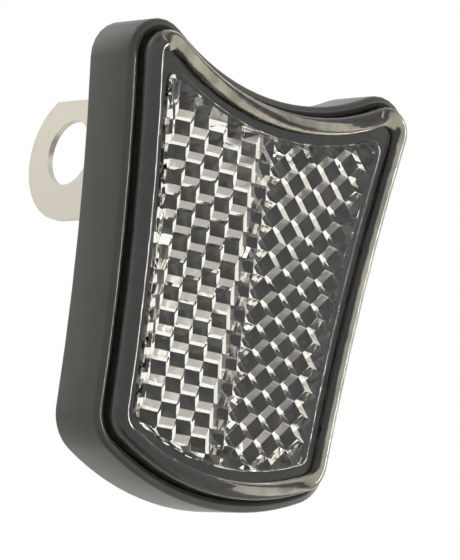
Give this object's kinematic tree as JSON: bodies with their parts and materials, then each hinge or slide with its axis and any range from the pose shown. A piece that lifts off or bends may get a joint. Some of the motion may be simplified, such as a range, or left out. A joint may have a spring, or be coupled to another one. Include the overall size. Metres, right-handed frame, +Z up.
{
  "type": "bicycle front reflector",
  "caption": "Clear prism lens with a rounded bead in a black tray, hollow at the top and sides, on a folded steel bracket with a round hole.",
  "frame": {"origin": "centre of the hole in the bracket's leg, halfway through the sheet", "axes": "+X is the axis of the hole, -Y is the way the reflector faces, +Z is up"},
  "size_m": [0.0444, 0.0366, 0.0553],
  "materials": {
    "tray_plastic": "satin black moulding",
    "clear_lens": "polished clear acrylic",
    "bracket_steel": "satin rolled sheet",
    "fastener_steel": "bright plated",
    "screw_steel": "blackened"
  },
  "bodies": {
    "root": {"tray": "tray_plastic", "lens": "clear_lens", "bracket": "bracket_steel", "hex_screw": "screw_steel", "washer": "fastener_steel", "hex_nut": "fastener_steel"}
  },
  "joints": []
}
